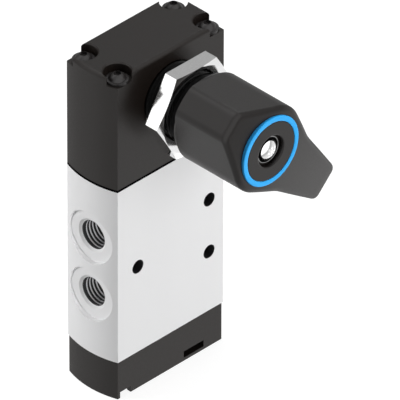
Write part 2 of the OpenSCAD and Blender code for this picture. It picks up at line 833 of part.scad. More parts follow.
module spool_yoke() {
  color([0.8, 0.78, 0.72])
  difference() {
    union() {
      translate([0, 0, hub_z]) cylinder(r = hub_r, h = hub_h);
      translate([-yoke_half_x, -yoke_t / 2, hub_z + hub_h - yoke_root])
        cube([2 * yoke_half_x, yoke_t, yoke_top - hub_z - hub_h + yoke_root]);
    }
    translate([0, 0, hub_z - eps]) cylinder(r = stem_r + seat_fit, h = stem_top - hub_z + eps + seat_fit);
    cross_pin_cut();
    translate([-yoke_slot_x, -yoke_t / 2 - eps, slot_z - yoke_slot_half])
      cube([2 * yoke_slot_x, yoke_t + 2 * eps, 2 * yoke_slot_half]);
  }
}

valve_body();
actuator_housing();
end_cap();
threaded_neck();
panel_nut();
housing_screws();
end_cap_screws();
head_gasket();
end_cap_gasket();
lower_guide_bush();
upper_guide_bush();
seal_spacers();
spool_seals();
shaft_bush();
stop_pin();
knob();
indicator_ring();
knob_screw();
knob_washer();
knob_shaft();
shaft_circlip();
shaft_oring();
crank_disc();
crank_pin();
spool();
spool_yoke();
yoke_pin();
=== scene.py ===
"""Looks of a panel-mount rotary air valve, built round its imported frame. Lengths are in metres."""

import json
import math

import bpy
from mathutils import Matrix, Vector


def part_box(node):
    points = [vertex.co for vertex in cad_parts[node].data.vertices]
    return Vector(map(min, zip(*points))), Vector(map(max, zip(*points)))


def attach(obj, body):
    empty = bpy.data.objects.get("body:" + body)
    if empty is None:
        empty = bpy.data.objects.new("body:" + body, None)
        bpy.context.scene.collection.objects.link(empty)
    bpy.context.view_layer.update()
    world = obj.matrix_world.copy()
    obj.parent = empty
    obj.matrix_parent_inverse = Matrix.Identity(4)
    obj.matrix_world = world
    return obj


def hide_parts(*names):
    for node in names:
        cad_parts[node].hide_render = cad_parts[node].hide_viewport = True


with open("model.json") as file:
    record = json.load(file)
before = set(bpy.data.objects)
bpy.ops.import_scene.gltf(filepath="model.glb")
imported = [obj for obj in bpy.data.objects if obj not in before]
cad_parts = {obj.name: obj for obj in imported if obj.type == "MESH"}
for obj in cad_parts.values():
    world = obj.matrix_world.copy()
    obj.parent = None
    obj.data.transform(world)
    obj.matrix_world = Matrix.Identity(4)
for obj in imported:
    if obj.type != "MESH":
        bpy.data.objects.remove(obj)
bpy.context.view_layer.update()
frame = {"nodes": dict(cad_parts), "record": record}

MM = 0.001
TAU = 2 * math.pi
NODES = frame["nodes"]
MOUNTS = {m["name"]: m for m in frame["record"]["mounts"]}

# Places and sizes that come from the frame
neck_low, neck_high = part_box("threaded_neck")
body_low, body_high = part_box("valve_body")
knob_low, knob_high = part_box("knob")
ring_low, ring_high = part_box("indicator_ring")
head_low, head_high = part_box("knob_screw")
washer_low, washer_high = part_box("knob_washer")
nut_low, nut_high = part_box("panel_nut")
AXIS_Z = (neck_low.z + neck_high.z) / 2
NECK_R = (neck_high.x - neck_low.x) / 2
FACE_Y = body_low.y
NECK_FRONT = FACE_Y - neck_low.y
NECK_BACK = FACE_Y - neck_high.y
KNOB_BACK = FACE_Y - knob_high.y
KNOB_FRONT = FACE_Y - knob_low.y
RING_R = (ring_high.x - ring_low.x) / 2
RING_FRONT = FACE_Y - ring_low.y
RING_BACK = FACE_Y - ring_high.y
HEAD_R = (head_high.x - head_low.x) / 2
HEAD_END = FACE_Y - head_high.y
WASHER_R = (washer_high.x - washer_low.x) / 2
WASHER_FRONT = FACE_Y - washer_low.y
WASHER_BACK = FACE_Y - washer_high.y
NUT_FLAT = (nut_high.z - nut_low.z) / 2
NUT_FRONT = FACE_Y - nut_low.y
NUT_BACK = FACE_Y - nut_high.y


# Camera: fitted to the photograph's straight edges. Angles are in degrees; CAMERA_RIGHT and CAMERA_UP move
# the camera sideways from its line to the target
CAMERA_YAW = 45.069
CAMERA_PITCH = 35.318
CAMERA_ROLL = 0.140
CAMERA_DISTANCE = 4.0976
CAMERA_TARGET = Vector((0, 0, 0.058))
CAMERA_RIGHT = 0.016020
CAMERA_UP = -0.001435
FOCAL_PIXELS = 13931.3
PHOTO_PIXELS = 400
SENSOR = 36
CAMERA_CLIP = (0.1, 50)


def add_camera():
    yaw, pitch, roll = (math.radians(a) for a in (CAMERA_YAW, CAMERA_PITCH, CAMERA_ROLL))
    right = Vector((math.cos(yaw), -math.sin(yaw), 0))
    ahead = Vector((math.cos(pitch) * math.sin(yaw), math.cos(pitch) * math.cos(yaw), -math.sin(pitch)))
    up = right.cross(ahead)
    place = CAMERA_TARGET + CAMERA_RIGHT * right + CAMERA_UP * up - CAMERA_DISTANCE * ahead
    turned_right = math.cos(roll) * right + math.sin(roll) * up
    turned_up = math.cos(roll) * up - math.sin(roll) * right
    data = bpy.data.cameras.new("camera")
    data.sensor_width = SENSOR
    data.lens = FOCAL_PIXELS * SENSOR / PHOTO_PIXELS
    data.clip_start, data.clip_end = CAMERA_CLIP
    camera = bpy.data.objects.new("camera", data)
    bpy.context.scene.collection.objects.link(camera)
    turn = Matrix((turned_right, turned_up, -ahead)).transposed()
    camera.matrix_world = Matrix.Translation(place) @ turn.to_4x4()
    bpy.context.scene.camera = camera


# Meshes
def add_mesh(name, verts, faces, place=None, sharp=30):
    mesh = bpy.data.meshes.new(name)
    mesh.from_pydata(verts, [], faces)
    mesh.update()
    for face in mesh.polygons:
        face.use_smooth = True
    mesh.set_sharp_from_angle(angle=math.radians(sharp))
    piece = bpy.data.objects.new(name, mesh)
    bpy.context.scene.collection.objects.link(piece)
    if place is not None:
        mesh.transform(place)
    return piece


def polar_solid(name, rings, place, steps=192, sharp=30):
    """A solid whose rings each go once round its axis. A ring is (radius, height); both are numbers, or
    radius(angle) and height(angle, radius). The last ring joins the first, unless both lie on the axis."""
    verts, rows = [], []
    for radius, height in rings:
        if radius == 0:
            rows.append([len(verts)] * steps)
            verts.append((0, 0, height))
            continue
        rows.append(list(range(len(verts), len(verts) + steps)))
        for k in range(steps):
            a = TAU * k / steps
            r = radius(a) if callable(radius) else radius
            h = height(a, r) if callable(height) else height
            verts.append((r * math.cos(a), r * math.sin(a), h))
    loops = list(zip(rows, rows[1:]))
    if rings[0][0] != 0:
        loops.append((rows[-1], rows[0]))
    faces = []
    for low, high in loops:
        for k in range(steps):
            n = (k + 1) % steps
            face = [low[k], low[n], high[n], high[k]]
            faces.append([v for i, v in enumerate(face) if v not in face[:i]])
    return add_mesh(name, verts, faces, place, sharp)


# An edge is kept at least this many bevels long
BEVELS_PER_EDGE = 2.2


def soften(profile, bevel, steps=3):
    """Rounds the corners of a closed profile of (radius, height) points."""
    out = []
    for k, here in enumerate(profile):
        here = Vector(here)
        before, after = Vector(profile[k - 1]), Vector(profile[(k + 1) % len(profile)])
        start = here + (before - here).normalized() * min(bevel, (before - here).length / BEVELS_PER_EDGE)
        end = here + (after - here).normalized() * min(bevel, (after - here).length / BEVELS_PER_EDGE)
        for s in range(steps + 1):
            t = s / steps
            point = start * (1 - t) ** 2 + here * 2 * t * (1 - t) + end * t ** 2
            out.append((point.x, point.y))
    return out


# Half a ridge's width at its root as a share of the pitch, the share of a turn over which a ridge fades
# out at each end, and the share of its height that is left there
RIDGE_ROOT = 0.44
RIDGE_FADE = 0.25
RIDGE_LEAST = 0.05
RIDGE_SHARP = 25


def thread_ridge(name, base_r, crest_r, pitch, start, end, place, crest_half, steps=60):
    """A helical thread ridge from base_r to crest_r, as one closed solid that fades out at both ends.
    Half the crest's width is given as a share of the pitch."""
    turns = (end - start) / pitch - 1
    count = int(turns * steps)
    fade_steps = steps * RIDGE_FADE
    verts, faces = [], []
    for k in range(count + 1):
        a = TAU * k / steps
        z = start + pitch * (0.5 + k / steps)
        fade = min(1, k / fade_steps, (count - k) / fade_steps)
        tip = base_r + (crest_r - base_r) * max(fade, RIDGE_LEAST)
        for r, share in ((base_r, -RIDGE_ROOT), (tip, -crest_half), (tip, crest_half), (base_r, RIDGE_ROOT)):
            verts.append((r * math.cos(a), r * math.sin(a), z + share * pitch))
    for k in range(count):
        for i in range(4):
            j = (i + 1) % 4
            faces.append((4 * k + i, 4 * k + j, 4 * k + 4 + j, 4 * k + 4 + i))
    faces.append((3, 2, 1, 0))
    faces.append(tuple(4 * count + i for i in range(4)))
    return add_mesh(name, verts, faces, place, RIDGE_SHARP)


# Local frames: X and Y across, Z outwards along the axis
def on_knob_axis(turn=0):
    axes = Matrix(((1, 0, 0), (0, 0, -1), (0, 1, 0))).to_4x4()
    return Matrix.Translation((0, FACE_Y, AXIS_Z)) @ axes @ Matrix.Rotation(math.radians(turn), 4, "Z")


def on_mount(mount):
    axis = Vector(mount["axis"])
    return Matrix.Translation(mount["pos_m"]) @ axis.to_track_quat("Z", "Y").to_matrix().to_4x4()


# Materials
def new_material(name):
    material = bpy.data.materials.new(name)
    material.use_nodes = True
    tree = material.node_tree
    return material, tree, tree.nodes["Principled BSDF"]


def math_node(tree, operation, a, b=None):
    node = tree.nodes.new("ShaderNodeMath")
    node.operation = operation
    for socket, value in zip(node.inputs, (a, b)):
        if isinstance(value, (int, float)):
            socket.default_value = value
        elif value is not None:
            tree.links.new(value, socket)
    return node.outputs[0]


def noise(tree, scale, detail, stretch):
    coords = tree.nodes.new("ShaderNodeTexCoord")
    mapping = tree.nodes.new("ShaderNodeMapping")
    mapping.inputs["Scale"].default_value = stretch
    texture = tree.nodes.new("ShaderNodeTexNoise")
    texture.inputs["Scale"].default_value = scale
    texture.inputs["Detail"].default_value = detail
    tree.links.new(coords.outputs["Object"], mapping.inputs["Vector"])
    tree.links.new(mapping.outputs["Vector"], texture.inputs["Vector"])
    return texture.outputs["Fac"]


def ranged(tree, value, low, high, from_low=0.3, from_high=0.7):
    node = tree.nodes.new("ShaderNodeMapRange")
    node.inputs["From Min"].default_value = from_low
    node.inputs["From Max"].default_value = from_high
    node.inputs["To Min"].default_value = low
    node.inputs["To Max"].default_value = high
    tree.links.new(value, node.inputs["Value"])
    return node.outputs["Result"]


def mixed(tree, factor, first, second):
    node = tree.nodes.new("ShaderNodeMix")
    node.data_type = "RGBA"
    tree.links.new(factor, node.inputs["Factor"])
    for socket, value in ((node.inputs["A"], first), (node.inputs["B"], second)):
        if isinstance(value, tuple):
            socket.default_value = (*value, 1)
        else:
            tree.links.new(value, socket)
    return node.outputs["Result"]


def tone(colour, share):
    return tuple(min(1, c * share) for c in colour)


def bump(tree, shader, height, distance):
    node = tree.nodes.new("ShaderNodeBump")
    node.inputs["Strength"].default_value = 1
    node.inputs["Distance"].default_value = distance
    tree.links.new(height, node.inputs["Height"])
    tree.links.new(node.outputs["Normal"], shader.inputs["Normal"])


CLOUD_SCALE = 60
ROUGH_VARY = 0.1


def finish_material(name, colour, roughness, metallic=0.0, grain=2000, grain_depth=0.004 * MM, vary=0.06,
                    stretch=(1, 1, 1), ior=1.5, extra=None):
    """A base colour that varies a little, a fine grain, and a roughness that varies with the grain."""
    material, tree, shader = new_material(name)
    cloud = noise(tree, CLOUD_SCALE, detail=3, stretch=stretch)
    base = mixed(tree, ranged(tree, cloud, 0, 1), tone(colour, 1 - vary), tone(colour, 1 + vary))
    if extra:
        base = extra(tree, base)
    tree.links.new(base, shader.inputs["Base Color"])
    fine = noise(tree, grain, detail=2, stretch=stretch)
    rough = ranged(tree, fine, roughness * (1 - ROUGH_VARY), min(1, roughness * (1 + ROUGH_VARY)))
    tree.links.new(rough, shader.inputs["Roughness"])
    shader.inputs["Metallic"].default_value = metallic
    shader.inputs["IOR"].default_value = ior
    bump(tree, shader, fine, grain_depth)
    return material


# Painted shade in the holes: how far it reaches past their radius, and how far inside the mouth it starts
HOLE_SHADE = (0.028, 0.028, 0.03)
HOLE_MARGIN = 0.1 * MM
HOLE_START = 0.1 * MM
PORT_SHADE = (0.02, 0.02, 0.021)
PORT_MARGIN = 0.05 * MM
PORT_START = 0.02 * MM


def near_axis(tree, first, a, second, b, radius):
    """1 within a radius of the line where one coordinate is a and the other is b."""
    across = math_node(tree, "SUBTRACT", first, a)
    along = math_node(tree, "SUBTRACT", second, b)
    squares = [math_node(tree, "MULTIPLY", way, way) for way in (across, along)]
    return math_node(tree, "LESS_THAN", math_node(tree, "ADD", *squares), radius * radius)


def hole_axes():
    """The X and Z of each mounting hole's axis, with the hole's radius."""
    pair = MOUNTS["mounting_hole_pair"]
    single = MOUNTS["mounting_hole_single"]
    half = pair["dims"]["spacing_y_mm"] * MM / 2
    x, z = pair["pos_m"][0], pair["pos_m"][2]
    r = pair["dims"]["hole_r_mm"] * MM
    alone = (single["pos_m"][0], single["pos_m"][2], single["dims"]["r_mm"] * MM)
    return [(x, z - half, r), (x, z + half, r), alone]


def largest(tree, values):
    result = values[0]
    for value in values[1:]:
        result = math_node(tree, "MAXIMUM", result, value)
    return result


def paint_hole_shade(tree, base):
    """Painted shade: the walls of the mounting holes and ports are painted dark from just inside the mouth.
    """
    coords = tree.nodes.new("ShaderNodeTexCoord")
    split = tree.nodes.new("ShaderNodeSeparateXYZ")
    tree.links.new(coords.outputs["Object"], split.inputs[0])
    x, y, z = split.outputs
    holes = [near_axis(tree, x, hole_x, z, hole_z, r + HOLE_MARGIN) for hole_x, hole_z, r in hole_axes()]
    deep = math_node(tree, "LESS_THAN", math_node(tree, "ABSOLUTE", y), -FACE_Y - HOLE_START)
    base = mixed(tree, math_node(tree, "MULTIPLY", largest(tree, holes), deep), base, HOLE_SHADE)
    ports = []
    for mount in MOUNTS.values():
        if mount["kind"] == "threaded_hole":
            start = abs(mount["pos_m"][0]) - PORT_START
            radius = mount["dims"]["r_mm"] * MM + PORT_MARGIN
            within = near_axis(tree, y, 0, z, mount["pos_m"][2], radius)
            behind = math_node(tree, "LESS_THAN", math_node(tree, "ABSOLUTE", x), start)
            ports.append(math_node(tree, "MULTIPLY", within, behind))
    return mixed(tree, largest(tree, ports), base, PORT_SHADE)


# Finishes by material name; grain is a noise's scale, and grain_depth its height
FINISHES = {
    # The body's finish paints shade into its mounting holes and ports
    "aluminium_body": dict(colour=(0.78, 0.78, 0.785), roughness=0.5, metallic=0.05, grain=4000,
                           grain_depth=0.002 * MM, vary=0.012, stretch=(1, 1, 0.2), extra=paint_hole_shade),
    "port_ridge": dict(colour=(0.72, 0.72, 0.74), roughness=0.4, metallic=0.2, grain=3000,
                       grain_depth=0.002 * MM, vary=0.02),
    # Painted shade on the port threads' flanks
    "port_groove": dict(colour=PORT_SHADE, roughness=0.6, grain=3000, grain_depth=0.002 * MM, vary=0.02),
    "black_housing": dict(colour=(0.0075, 0.0055, 0.0045), roughness=0.42, grain=2600,
                          grain_depth=0.006 * MM, ior=1.405),
    "black_knob": dict(colour=(0.0045, 0.003, 0.0025), roughness=0.36, grain=2600,
                       grain_depth=0.005 * MM, ior=1.43),
    "black_neck": dict(colour=(0.003, 0.003, 0.003), roughness=0.4, grain=2600, ior=1.4),
    "nickel_nut": dict(colour=(0.98, 0.98, 0.98), roughness=0.1, metallic=1, grain=900,
                       grain_depth=0.001 * MM, vary=0.02),
    "black_screw": dict(colour=(0.02, 0.018, 0.018), roughness=0.34, metallic=0.2, grain=3000,
                        grain_depth=0.003 * MM),
    "bright_screw": dict(colour=(0.95, 0.95, 0.95), roughness=0.14, metallic=1, grain=3000,
                         grain_depth=0.001 * MM, vary=0.02),
    # Colour darkened below steel's own: painted dark reflection on the washer's rim
    "polished_steel": dict(colour=(0.3, 0.3, 0.3), roughness=0.08, metallic=1, grain=3000,
                           grain_depth=0.001 * MM, vary=0.02),
    # Matt black with almost no gloss: painted shade for the seam's shadow and the washer's dark reflection
    "gasket_black": dict(colour=(0.002, 0.002, 0.002), roughness=0.9, ior=1.05),
    "blue_ring": dict(colour=(0.035, 0.43, 0.95), roughness=0.4, grain=3000, grain_depth=0.002 * MM,
                      vary=0.02, ior=1.3),
    "seal_rubber": dict(colour=(0.02, 0.02, 0.02), roughness=0.6, grain_depth=0.006 * MM),
    "guide_plastic": dict(colour=(0.6, 0.55, 0.42), roughness=0.45),
    "bush_brass": dict(colour=(0.72, 0.5, 0.22), roughness=0.3, metallic=1, grain_depth=0.003 * MM),
    "steel": dict(colour=(0.6, 0.6, 0.62), roughness=0.3, metallic=1, grain_depth=0.003 * MM),
    "spool_metal": dict(colour=(0.75, 0.75, 0.77), roughness=0.25, metallic=1, grain_depth=0.002 * MM),
    "yoke_plastic": dict(colour=(0.7, 0.68, 0.62), roughness=0.45),
}


def make_materials():
    return {name: finish_material(name, **finish) for name, finish in FINISHES.items()}


def dress_nodes():
    for part in frame["record"]["subparts"]:
        mesh = NODES[part["node"]].data
        mesh.materials.clear()
        mesh.materials.append(MATERIALS[part["material_slot"]])


def dress(piece, material, body):
    piece.data.materials.append(MATERIALS[material])
    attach(piece, body)
    return piece


# Port threads: a light crest on flanks painted dark as shade, behind a collar at the mouth
THREAD_TIP_R = 4.45 * MM
THREAD_START = 0.3 * MM
PORT_PITCH = 1.27 * MM
PORT_CREST = 0.17
# How far the ridge and the collar reach into the bore's wall
PORT_SINK = 0.03 * MM
COLLAR_DEPTH = 0.6 * MM
COLLAR_LIP = 0.1 * MM
COLLAR_DROP = 0.04 * MM
COLLAR_BEVEL = 0.06 * MM


def add_port_thread(name, mount):
    wall = mount["dims"]["r_mm"] * MM + PORT_SINK
    depth = mount["dims"]["length_mm"] * MM
    place = on_mount(mount)
    ridge = thread_ridge(name + "_thread", wall, THREAD_TIP_R, PORT_PITCH, -depth, -THREAD_START, place,
                         PORT_CREST)
    # The ridge's flanks take painted shade, and its crest the metal's own colour
    dress(ridge, "port_groove", "root")
    ridge.data.materials.append(MATERIALS["port_ridge"])
    # Each step of the ridge has four faces, the second of them its crest; two end faces follow
    for face in list(ridge.data.polygons)[1:-2:4]:
        face.material_index = 1
    mouth = [(wall, -COLLAR_DEPTH), (wall, 0), (THREAD_TIP_R + COLLAR_LIP, -COLLAR_DROP),
             (THREAD_TIP_R, -THREAD_START)]
    collar = polar_solid(name + "_collar", soften(mouth, COLLAR_BEVEL, steps=2), place, steps=96)
    dress(collar, "aluminium_body", "root")


def add_port_threads():
    for name, mount in MOUNTS.items():
        if mount["kind"] == "threaded_hole":
            add_port_thread(name, mount)


# Neck: a bored sleeve, with a real thread that runs from inside the housing to the neck's front end
NECK_ROOT_R = NECK_R - 0.92 * MM
NECK_BORE_R = 4.06 * MM
NECK_BEVEL = 0.3 * MM
NECK_PITCH = 1.5 * MM
NECK_CREST = 0.08
NECK_SINK = 0.1 * MM
NECK_THREAD_BACK = -0.6 * MM
NECK_THREAD_FRONT = NECK_FRONT - 0.1 * MM


def add_neck():
    place = on_knob_axis()
    profile = [(NECK_BORE_R, NECK_BACK), (NECK_ROOT_R, NECK_BACK), (NECK_ROOT_R, NECK_FRONT),
               (NECK_BORE_R, NECK_FRONT)]
    core = polar_solid("neck_core", soften(profile, NECK_BEVEL), place, steps=128)
    dress(core, "black_neck", "root")
    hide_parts("threaded_neck")
    thread = thread_ridge("neck_thread", NECK_ROOT_R - NECK_SINK, NECK_R, NECK_PITCH, NECK_THREAD_BACK,
                          NECK_THREAD_FRONT, place, NECK_CREST, steps=96)
    dress(thread, "black_neck", "root")


# Panel nut: a hexagon with coned corners on its front face; NUT_CONE is the cone's drop per length
# outwards, and NUT_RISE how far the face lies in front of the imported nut's
NUT_CONE = 0.25
NUT_RISE = 0.45 * MM
NUT_FACE_R = NUT_FLAT - 0.15 * MM
NUT_BORE_R = NECK_R + 0.03 * MM
NUT_BORE_CHAMFER = 0.6 * MM
NUT_SHARP = 10


def hexagonal(a):
    """The hexagon's radius at an angle."""
    return NUT_FLAT / math.cos(a % (TAU / 6) - TAU / 12)


def add_nut():
    mouth, front = NUT_BORE_R + NUT_BORE_CHAMFER, NUT_FRONT + NUT_RISE
    rings = [(NUT_BORE_R, NUT_BACK + NUT_BORE_CHAMFER), (mouth, NUT_BACK), (hexagonal, NUT_BACK),
             (hexagonal, lambda a, r: front - NUT_CONE * (r - NUT_FACE_R)),
             (NUT_FACE_R, front), (mouth, front), (NUT_BORE_R, front - NUT_BORE_CHAMFER)]
    nut = polar_solid("nut_hexagon", rings, on_knob_axis(), sharp=NUT_SHARP)
    dress(nut, "nickel_nut", "root")
    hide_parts("panel_nut")


# Degrees from world X to the pointer, anticlockwise seen from the front
POINTER_TURN = -45

# Knob: corners as (along the pointer, across it, corner radius), in millimetres, anticlockwise
KNOB_HALF = ((40.1, 5.75, 2.3), (15.6, 9.3, 25), (-1.5, 15.2, 11.6), (-20.3, 4.3, 3.2))
KNOB_CORNERS = KNOB_HALF + tuple((u, -v, r) for u, v, r in reversed(KNOB_HALF))
# The front is crowned along the pointer, with a larger radius beyond CROWN_CHANGE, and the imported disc
# lies DISC_PROUD in front of the crown's middle
CROWN_R = 110 * MM
POINTER_CROWN_R = 400 * MM
CROWN_CHANGE = 12 * MM
DISC_PROUD = 0.05 * MM
KNOB_EDGE = 1.6 * MM
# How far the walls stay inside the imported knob's
KNOB_SKIN = 0.01 * MM
# The bore at the back that clears the neck, the shaft's bore, and the screw's hole through the web between
KNOB_SKIRT_R = NECK_R + 0.5 * MM
SKIRT_DEPTH = 2.8 * MM
SKIRT_CHAMFER = 0.2 * MM
SHAFT_BORE_R = 4.05 * MM
SHAFT_BORE_CONE = 0.1 * MM
SCREW_HOLE_R = 1.8 * MM
SCREW_WEB = 2.3 * MM
# The cone at the back, as pairs of distance in front of the back face and largest radius there, in
# millimetres
KNOB_TAPER = ((0, 13.0), (0.6, 13.1), (2.5, 14.5), (3.2, 16.2), (3.9, 18.3), (5.2, 21.0), (6.5, 23.6),
              (9.2, 27.0), (12.2, 31), (14.2, 35.5), (16.2, 42))
RING_WIDTH = 1.7 * MM
GROOVE_FIT = 0.03 * MM
GROOVE_CHAMFER = 0.08 * MM
# The disc inside the ring: its edge as pairs of distance inwards and distance below its face, in
# millimetres
DISC_RISE = 0.3 * MM
DISC_EDGE = ((0, 0.25), (0.07, 0.08), (0.25, 0), (0.35, 0))
DISC_FLAT = 0.15 * MM
RECESS_R = 5.1 * MM
RECESS_ROUND = 0.35 * MM
RECESS_DEPTH = 1.4 * MM
RECESS_BREAK = 0.3
KNOB_STEPS = 720
KNOB_SHARP = 35
ARC_STEPS = 12
TAPER_STEPS = 16
EDGE_STEPS = 8
# The crown's rings between the rounded edge and the groove, as shares of the way out
CROWN_SHARES = (0.9, 0.75, 0.6, 0.45, 0.3, 0.15, 0.05)


def corner_arcs():
    """Each corner as its arc's centre, radius, bend (1 outwards, -1 inwards), start angle and sweep."""
    arcs = []
    for k, (u, v, r) in enumerate(KNOB_CORNERS):
        here = Vector((u, v)) * MM
        before = Vector(KNOB_CORNERS[k - 1][:2]) * MM
        after = Vector(KNOB_CORNERS[(k + 1) % len(KNOB_CORNERS)][:2]) * MM
        first, second = (here - before).normalized(), (after - here).normalized()
        normals = Vector((first.y, -first.x)), Vector((second.y, -second.x))
        sweep = math.atan2(first.x * second.y - first.y * second.x, first.dot(second))
        bend = math.copysign(1, sweep)
        centre = here - bend * (normals[0] + normals[1]).normalized() * r * MM / math.cos(sweep / 2)
        arcs.append((centre, r * MM, bend, math.atan2(normals[0].y, normals[0].x), sweep))
    return arcs


def outline_points(inset):
    points = []
    for centre, r, bend, start, sweep in corner_arcs():
        for s in range(ARC_STEPS + 1):
            a = start + sweep * s / ARC_STEPS
            points.append(centre + bend * (r - bend * inset) * Vector((math.cos(a), math.sin(a))))
    return points


def ray_length(ray, points):
    """How far a ray from the middle runs to a closed outline's furthest side."""
    best, slack = 0, 1e-9
    for p, q in zip(points, points[1:] + points[:1]):
        edge = q - p
        cross = ray.x * edge.y - ray.y * edge.x
        if abs(cross) < 1e-12:
            continue
        along = (p.x * edge.y - p.y * edge.x) / cross
        share = (p.x * ray.y - p.y * ray.x) / cross
        if along > 0 and -slack <= share <= 1 + slack:
            best = max(best, along)
    return best


def knob_radii(inset):
    """The outline's radius at each step of a turn, with the outline drawn in by an inset."""
    points = outline_points(inset)
    angles = (TAU * k / KNOB_STEPS for k in range(KNOB_STEPS))
    return [ray_length(Vector((math.cos(a), math.sin(a))), points) for a in angles]


def crown_drop(u):
    """How far the front lies behind its middle at a distance along the pointer."""
    near, beyond = min(u, CROWN_CHANGE), max(0, u - CROWN_CHANGE)
    return near ** 2 / (2 * CROWN_R) + beyond * CROWN_CHANGE / CROWN_R + beyond ** 2 / (2 * POINTER_CROWN_R)


def taper_height(r):
    """How far in front of the back face the cone has a radius."""
    for (low, small), (high, large) in zip(KNOB_TAPER, KNOB_TAPER[1:]):
        share = (r + KNOB_SKIN - small * MM) / ((large - small) * MM)
        if share <= 1:
            return (low + (high - low) * max(0, share)) * MM
    return KNOB_TAPER[-1][0] * MM


def looked_up(radii, limit=math.inf):
    """The radius at an angle, from a list with one radius for each step of a turn."""
    return lambda a: min(limit, radii[round(a / TAU * KNOB_STEPS) % KNOB_STEPS])


def crowned(drop):
    """A height that lies a drop below the crown."""
    apex = KNOB_FRONT - DISC_PROUD
    return lambda a, r: apex - crown_drop(r * math.cos(a)) - drop


def knob_back_rings():
    """From the neck's bore over the back face to where the cone meets the outline."""
    outline = knob_radii(KNOB_SKIN)
    rings = [(KNOB_SKIRT_R, KNOB_BACK + SKIRT_DEPTH), (KNOB_SKIRT_R, KNOB_BACK + SKIRT_CHAMFER),
             (KNOB_SKIRT_R + SKIRT_CHAMFER, KNOB_BACK)]
    rings += [(looked_up(outline, r * MM - KNOB_SKIN), KNOB_BACK + t * MM) for t, r in KNOB_TAPER[:2]]
    wall, collar = looked_up(outline), KNOB_TAPER[1][1] * MM - KNOB_SKIN
    for k in range(1, TAPER_STEPS + 1):
        rings.append((lambda a, share=k / TAPER_STEPS: collar + share * (wall(a) - collar),
                      lambda a, r: KNOB_BACK + taper_height(r)))
    return rings


def knob_front_rings(groove):
    """Round the front edge and over the crown to the ring's groove."""
    rings = []
    for k in range(EDGE_STEPS + 1):
        a = math.pi / 2 * k / EDGE_STEPS
        inset = KNOB_SKIN + KNOB_EDGE * (1 - math.cos(a))
        rings.append((looked_up(knob_radii(inset)), crowned(KNOB_EDGE * (1 - math.sin(a)))))
    inner = looked_up(knob_radii(KNOB_SKIN + KNOB_EDGE))
    for share in CROWN_SHARES:
        rings.append((lambda a, share=share: groove + share * (inner(a) - groove), crowned(0)))
    return rings + [(groove + GROOVE_CHAMFER, crowned(0)), (groove, crowned(GROOVE_CHAMFER))]


def knob_middle_rings(groove):
    """Through the groove, over the disc and down the recess to the shaft's bore."""
    disc = KNOB_FRONT + DISC_RISE
    disc_r = RING_R - RING_WIDTH - GROOVE_FIT
    floor = KNOB_FRONT - DISC_PROUD - RECESS_DEPTH
    web = floor - SCREW_WEB
    rings = [(groove, RING_BACK), (disc_r, RING_BACK)]
    rings += [(disc_r - inwards * MM, disc - down * MM) for inwards, down in DISC_EDGE]
    rings += [(RECESS_R + RECESS_ROUND + DISC_FLAT, disc), (RECESS_R + RECESS_ROUND, disc),
              (RECESS_R + RECESS_BREAK * RECESS_ROUND, disc - RECESS_BREAK * RECESS_ROUND),
              (RECESS_R, disc - RECESS_ROUND), (RECESS_R, floor), (SCREW_HOLE_R, floor), (SCREW_HOLE_R, web),
              (SHAFT_BORE_R, web - SHAFT_BORE_CONE), (SHAFT_BORE_R, KNOB_BACK + SKIRT_DEPTH)]
    return rings


def knob_solid():
    groove = RING_R + GROOVE_FIT
    rings = knob_back_rings() + knob_front_rings(groove) + knob_middle_rings(groove)
    return polar_solid("knob_moulding", rings, on_knob_axis(POINTER_TURN), KNOB_STEPS, KNOB_SHARP)


def add_knob():
    knob = knob_solid()
    dress(knob, "black_knob", "knob_body")
    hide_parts("knob")


# Ring: a rounded outer edge, and an inner edge as pairs of distance outwards and distance below its face,
# in millimetres
RING_ROUND = 0.3 * MM
RING_ROUND_STEPS = 6
RING_INNER_EDGE = ((0.2, 0), (0.05, 0.06), (0, 0.25))


def add_ring():
    inner = RING_R - RING_WIDTH
    profile = [(inner, RING_BACK), (RING_R, RING_BACK)]
    for k in range(RING_ROUND_STEPS + 1):
        a = math.pi / 2 * k / RING_ROUND_STEPS
        profile.append((RING_R - RING_ROUND * (1 - math.cos(a)), RING_FRONT - RING_ROUND * (1 - math.sin(a))))
    profile += [(inner + out * MM, RING_FRONT - down * MM) for out, down in RING_INNER_EDGE]
    ring = polar_solid("ring_band", profile, on_knob_axis())
    dress(ring, "blue_ring", "knob_body")
    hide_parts("indicator_ring")


# Knob screw: a dome head with a six-lobed socket
HEAD_H = 1.64 * MM
HEAD_RIM = 0.3 * MM
HEAD_FOOT = 0.1 * MM
HEAD_BREAK = 0.05 * MM
HEAD_SHOULDER = 0.06 * MM
DOME_SHARES = (0.9, 0.8, 0.7, 0.6, 0.5)
KNOB_SHANK_R = 1.5 * MM
LOBE_R = 1.32 * MM
LOBE_DEPTH = 0.16 * MM
LOBES = 6
SOCKET_BREAK = 0.07 * MM
SOCKET_DEPTH = 0.9 * MM
SOCKET_TAPER = 0.94
SOCKET_CONE = 0.25 * MM
SCREW_STEPS = 144
SCREW_SHARP = 25


def lobed(a):
    return LOBE_R + LOBE_DEPTH * math.cos(LOBES * a)


